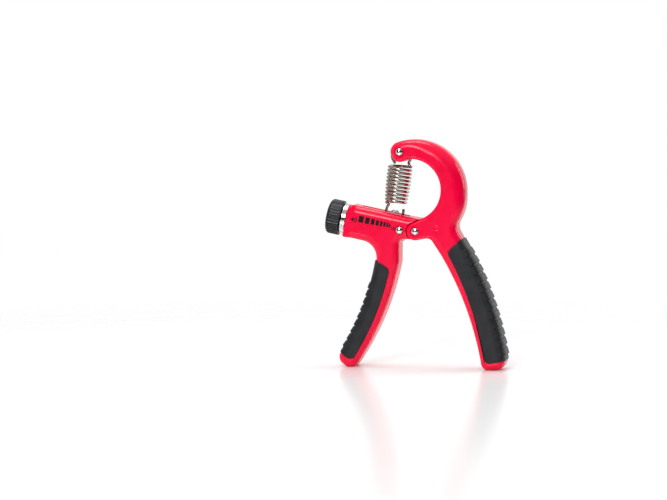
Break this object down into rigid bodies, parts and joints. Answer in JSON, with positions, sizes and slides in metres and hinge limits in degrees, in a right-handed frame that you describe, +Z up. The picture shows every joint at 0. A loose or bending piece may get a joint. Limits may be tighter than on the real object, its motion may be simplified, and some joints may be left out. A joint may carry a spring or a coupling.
{
  "type": "hand gripper",
  "caption": "Spring hand gripper: a fixed handle with a barrel, a hooked lever handle on a pivot, an extension spring between them and a knob that moves the spring's lower end.",
  "frame": {"origin": "on the ground under the middle of the whole object's box, where it stands on the ends of its two handles", "axes": "+Z up from the handle ends to the hook, +X from the knob towards the lever's handle, +Y through the body's thickness, away from the side with the scale"},
  "size_m": [0.1194, 0.0236, 0.1474],
  "materials": {
    "red_plastic": "gloss",
    "dark_rubber": "matte",
    "dark_plastic": "satin",
    "chrome": "polished",
    "steel": "satin",
    "nylon": "satin"
  },
  "bodies": {
    "fixed_side": {"barrel_handle": "red_plastic", "fixed_grip": "dark_rubber", "end_collar": "chrome", "screw_end_bush": "nylon", "bush_rivet": "chrome", "bush_rivet_cap": "chrome", "pivot_bush": "steel", "pivot_washer_front": "nylon", "pivot_washer_rear": "nylon"},
    "lever": {"lever_body": "red_plastic", "lever_grip": "dark_rubber", "pivot_rivet": "chrome", "pivot_rivet_cap": "chrome", "tip_rivet": "chrome", "tip_rivet_cap": "chrome"},
    "adjuster": {"knob": "dark_plastic", "adjusting_screw": "steel", "thrust_washer": "nylon", "retaining_ring": "steel"},
    "carriage": {"carriage_nut": "steel", "nut_pin": "steel"},
    "spring_swing": {"tip_sleeve": "steel"},
    "spring_wire": {"spring": "chrome"}
  },
  "joints": [
    {"name": "squeeze", "type": "hinge", "parent": "fixed_side", "child": "lever", "pos_m": [0.00065, 0, 0.0885], "axis": [0, 1, 0], "range_deg": [0, 40], "stiffness_Nm_per_rad": 1.6, "springref_deg": -11.46},
    {"name": "adjust", "type": "hinge", "parent": "fixed_side", "child": "adjuster", "pos_m": [-0.04514, 0, 0.09516], "axis": [0.9799, 0, -0.1994], "range_deg": [0, 3840]},
    {"name": "nut_travel", "type": "slide", "parent": "fixed_side", "child": "carriage", "axis": [0.9799, 0, -0.1994], "range_m": [-0.016, 0]},
    {"name": "spring_angle", "type": "hinge", "parent": "lever", "child": "spring_swing", "pos_m": [-0.00965, 0, 0.13942], "axis": [0, 1, 0], "range_deg": [0, 22.6]},
    {"name": "spring_stretch", "type": "slide", "parent": "spring_swing", "child": "spring_wire", "axis": [-0.2989, 0, -0.9543], "range_m": [0, 0.01305], "deforming": ["spring"]}
  ],
  "couplings": [
    {"joint": "adjust", "follows": "nut_travel", "rad_per_m": -4188.8},
    {"joint": "spring_angle", "follows": "nut_travel", "rad_per_m": -24.605},
    {"joint": "spring_stretch", "follows": "squeeze", "m_per_rad": 0.018624}
  ]
}
